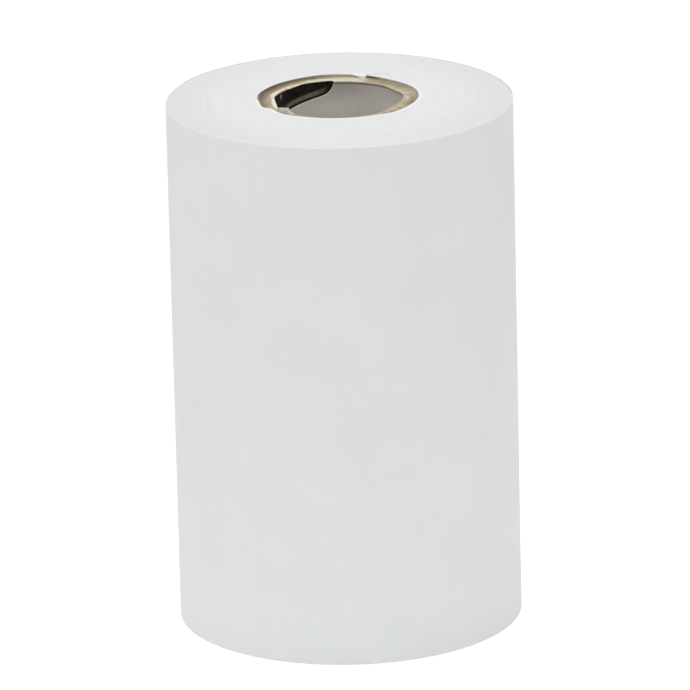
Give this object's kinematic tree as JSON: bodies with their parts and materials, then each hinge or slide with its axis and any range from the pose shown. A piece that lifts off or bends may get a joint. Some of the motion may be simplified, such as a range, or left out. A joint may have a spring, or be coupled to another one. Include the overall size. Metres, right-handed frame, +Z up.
{
  "type": "backdrop paper roll",
  "caption": "Short roll of off-white backdrop paper wound on a spirally wound board core with an open bore; the loose outer end of the web lifts off the roll.",
  "frame": {"origin": "on the roll's axis, in the plane of the lower rim that the roll stands on", "axes": "+Z up along the roll's axis; +X to the right and -Y towards the picture's camera"},
  "size_m": [0.1358, 0.1359, 0.2116],
  "materials": {
    "web": "matte, uncoated, off-white",
    "outer_liner": "matte brown kraft",
    "body_ply": "matte tan board, cut edges slightly rough",
    "barrier_ply": "dark, glossy, resin-coated",
    "inner_liner": "smooth grey-beige, cream at its cut edges",
    "starter_tape": "satin adhesive tape",
    "tail_tape": "satin paper tape"
  },
  "bodies": {
    "roll": {"core_inner_liner": "inner_liner", "core_barrier_ply": "barrier_ply", "core_body_ply_1": "body_ply", "core_body_ply_2": "body_ply", "core_body_ply_3": "body_ply", "core_body_ply_4": "body_ply", "core_body_ply_5": "body_ply", "core_body_ply_6": "body_ply", "core_body_ply_7": "body_ply", "core_body_ply_8": "body_ply", "core_outer_liner": "outer_liner", "starter_tape": "starter_tape", "wound_web": "web"},
    "tail_01": {"tail_strip_01": "web"},
    "tail_02": {"tail_strip_02": "web"},
    "tail_03": {"tail_strip_03": "web"},
    "tail_04": {"tail_strip_04": "web"},
    "tail_05": {"tail_strip_05": "web"},
    "tail_06": {"tail_strip_06": "web"},
    "tail_07": {"tail_strip_07": "web"},
    "tail_08": {"tail_strip_08": "web"},
    "tail_09": {"tail_strip_09": "web"},
    "tail_10": {"tail_strip_10": "web"},
    "tail_11": {"tail_strip_11": "web"},
    "tail_12": {"tail_strip_12": "web", "tail_tape": "tail_tape"}
  },
  "joints": [
    {"name": "tail_lift", "type": "hinge", "parent": "roll", "child": "tail_01", "pos_m": [0.06783, 0.00474, 0.105], "axis": [0, 0, -1], "range_deg": [0, 12.5], "stiffness_Nm_per_rad": 0.002},
    {"name": "tail_fold_02", "type": "hinge", "parent": "tail_01", "child": "tail_02", "pos_m": [0.0652, 0.01931, 0.105], "axis": [0, 0, -1], "range_deg": [0, 12.5]},
    {"name": "tail_fold_03", "type": "hinge", "parent": "tail_02", "child": "tail_03", "pos_m": [0.05947, 0.03297, 0.105], "axis": [0, 0, -1], "range_deg": [0, 12.5]},
    {"name": "tail_fold_04", "type": "hinge", "parent": "tail_03", "child": "tail_04", "pos_m": [0.05093, 0.04506, 0.105], "axis": [0, 0, -1], "range_deg": [0, 12.5]},
    {"name": "tail_fold_05", "type": "hinge", "parent": "tail_04", "child": "tail_05", "pos_m": [0.03997, 0.05501, 0.105], "axis": [0, 0, -1], "range_deg": [0, 12.5]},
    {"name": "tail_fold_06", "type": "hinge", "parent": "tail_05", "child": "tail_06", "pos_m": [0.02711, 0.06236, 0.105], "axis": [0, 0, -1], "range_deg": [0, 12.5]},
    {"name": "tail_fold_07", "type": "hinge", "parent": "tail_06", "child": "tail_07", "pos_m": [0.01298, 0.06675, 0.105], "axis": [0, 0, -1], "range_deg": [0, 12.5]},
    {"name": "tail_fold_08", "type": "hinge", "parent": "tail_07", "child": "tail_08", "pos_m": [-0.00178, 0.06798, 0.105], "axis": [0, 0, -1], "range_deg": [0, 12.5]},
    {"name": "tail_fold_09", "type": "hinge", "parent": "tail_08", "child": "tail_09", "pos_m": [-0.01645, 0.06598, 0.105], "axis": [0, 0, -1], "range_deg": [0, 12.5]},
    {"name": "tail_fold_10", "type": "hinge", "parent": "tail_09", "child": "tail_10", "pos_m": [-0.03034, 0.06086, 0.105], "axis": [0, 0, -1], "range_deg": [0, 12.5]},
    {"name": "tail_fold_11", "type": "hinge", "parent": "tail_10", "child": "tail_11", "pos_m": [-0.04279, 0.05285, 0.105], "axis": [0, 0, -1], "range_deg": [0, 12.5]},
    {"name": "tail_fold_12", "type": "hinge", "parent": "tail_11", "child": "tail_12", "pos_m": [-0.05322, 0.04233, 0.105], "axis": [0, 0, -1], "range_deg": [0, 12.5]}
  ],
  "couplings": [
    {"joint": "tail_fold_02", "follows": "tail_lift", "ratio": 1},
    {"joint": "tail_fold_03", "follows": "tail_lift", "ratio": 1},
    {"joint": "tail_fold_04", "follows": "tail_lift", "ratio": 1},
    {"joint": "tail_fold_05", "follows": "tail_lift", "ratio": 1},
    {"joint": "tail_fold_06", "follows": "tail_lift", "ratio": 1},
    {"joint": "tail_fold_07", "follows": "tail_lift", "ratio": 1},
    {"joint": "tail_fold_08", "follows": "tail_lift", "ratio": 1},
    {"joint": "tail_fold_09", "follows": "tail_lift", "ratio": 1},
    {"joint": "tail_fold_10", "follows": "tail_lift", "ratio": 1},
    {"joint": "tail_fold_11", "follows": "tail_lift", "ratio": 1},
    {"joint": "tail_fold_12", "follows": "tail_lift", "ratio": 1}
  ]
}
